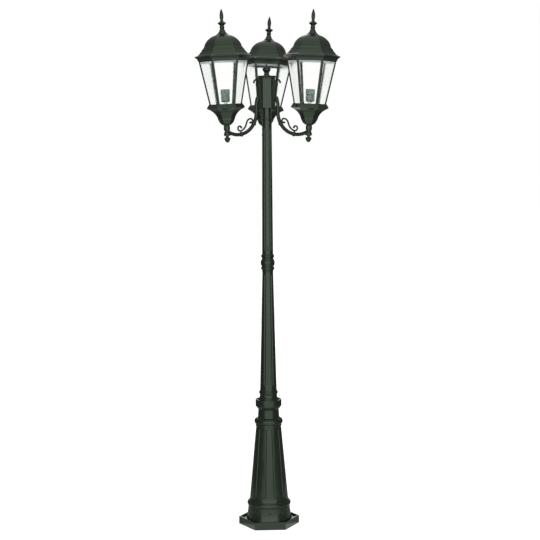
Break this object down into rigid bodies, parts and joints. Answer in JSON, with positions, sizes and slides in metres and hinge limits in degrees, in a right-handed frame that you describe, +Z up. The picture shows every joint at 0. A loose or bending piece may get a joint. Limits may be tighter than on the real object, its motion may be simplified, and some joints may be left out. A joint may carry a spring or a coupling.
{
  "type": "triple head lamp post",
  "caption": "Garden lamp post with a fluted pedestal and pole, and hexagonal glass lanterns with domed roofs on scroll arms around a hub.",
  "frame": {"origin": "centre of the ground tray's underside, on the post's axis", "axes": "+Z up along the post; -Y is the front, between two of the lanterns; the third lantern is at the back, towards +Y"},
  "size_m": [0.629, 0.5581, 2.2884],
  "materials": {
    "dark_green_coat": "satin",
    "coated_screws": "satin",
    "zinc_steel": "satin",
    "cable_jacket": "matte",
    "lead_jacket": "matte",
    "connector_plastic": "satin",
    "clear_glass": "gloss",
    "holder_grey": "matte",
    "shell_brass": "satin"
  },
  "bodies": {
    "post": {"base_tray": "dark_green_coat", "pedestal": "dark_green_coat", "pedestal_screws": "coated_screws", "collar": "dark_green_coat", "collar_screws": "coated_screws", "lower_shaft": "dark_green_coat", "coupling": "dark_green_coat", "upper_pole": "dark_green_coat", "pole_fitter": "dark_green_coat", "fitter_screws": "coated_screws", "hub_body": "dark_green_coat", "arm_screws": "zinc_steel", "nipple_nuts": "zinc_steel", "feed_cable": "cable_jacket", "lamp_leads": "lead_jacket", "wire_connectors": "connector_plastic", "arm_rear": "dark_green_coat", "scroll_rear": "dark_green_coat", "stem_rear": "dark_green_coat", "acorn_rear": "dark_green_coat", "bell_rear": "dark_green_coat", "cage_rear": "dark_green_coat", "glass_rear": "clear_glass", "lampholder_rear": "holder_grey", "screw_shell_rear": "shell_brass", "nipple_rear": "zinc_steel", "arm_left": "dark_green_coat", "scroll_left": "dark_green_coat", "stem_left": "dark_green_coat", "acorn_left": "dark_green_coat", "bell_left": "dark_green_coat", "cage_left": "dark_green_coat", "glass_left": "clear_glass", "lampholder_left": "holder_grey", "screw_shell_left": "shell_brass", "nipple_left": "zinc_steel", "arm_right": "dark_green_coat", "scroll_right": "dark_green_coat", "stem_right": "dark_green_coat", "acorn_right": "dark_green_coat", "bell_right": "dark_green_coat", "cage_right": "dark_green_coat", "glass_right": "clear_glass", "lampholder_right": "holder_grey", "screw_shell_right": "shell_brass", "nipple_right": "zinc_steel"},
    "hub_cap": {"hub_cap": "dark_green_coat"},
    "hub_finial": {"hub_finial": "dark_green_coat"},
    "roof_rear": {"roof_rear": "dark_green_coat", "roof_screw_rear": "coated_screws"},
    "finial_rear": {"finial_rear": "dark_green_coat"},
    "roof_left": {"roof_left": "dark_green_coat", "roof_screw_left": "coated_screws"},
    "finial_left": {"finial_left": "dark_green_coat"},
    "roof_right": {"roof_right": "dark_green_coat", "roof_screw_right": "coated_screws"},
    "finial_right": {"finial_right": "dark_green_coat"}
  },
  "joints": [
    {"name": "hub_cap_lift", "type": "slide", "parent": "post", "child": "hub_cap", "axis": [0, 0, 1], "range_m": [0, 0.1]},
    {"name": "hub_finial_turn", "type": "hinge", "parent": "hub_cap", "child": "hub_finial", "pos_m": [0, 0, 2.02], "axis": [0, 0, 1], "continuous": true},
    {"name": "roof_lift_rear", "type": "slide", "parent": "post", "child": "roof_rear", "axis": [0.0488, 0.0471, 0.9977], "range_m": [0, 0.15]},
    {"name": "finial_turn_rear", "type": "hinge", "parent": "roof_rear", "child": "finial_rear", "pos_m": [0.0214, 0.22556, 2.20614], "axis": [0.0488, 0.0471, 0.9977], "continuous": true},
    {"name": "roof_lift_left", "type": "slide", "parent": "post", "child": "roof_left", "axis": [-0.0408, -0.0236, 0.9989], "range_m": [0, 0.15]},
    {"name": "finial_turn_left", "type": "hinge", "parent": "roof_left", "child": "finial_left", "pos_m": [-0.19536, -0.11279, 2.20666], "axis": [-0.0408, -0.0236, 0.9989], "continuous": true},
    {"name": "roof_lift_right", "type": "slide", "parent": "post", "child": "roof_right", "axis": [0.0408, -0.0236, 0.9989], "range_m": [0, 0.15]},
    {"name": "finial_turn_right", "type": "hinge", "parent": "roof_right", "child": "finial_right", "pos_m": [0.19536, -0.11279, 2.20666], "axis": [0.0408, -0.0236, 0.9989], "continuous": true}
  ]
}
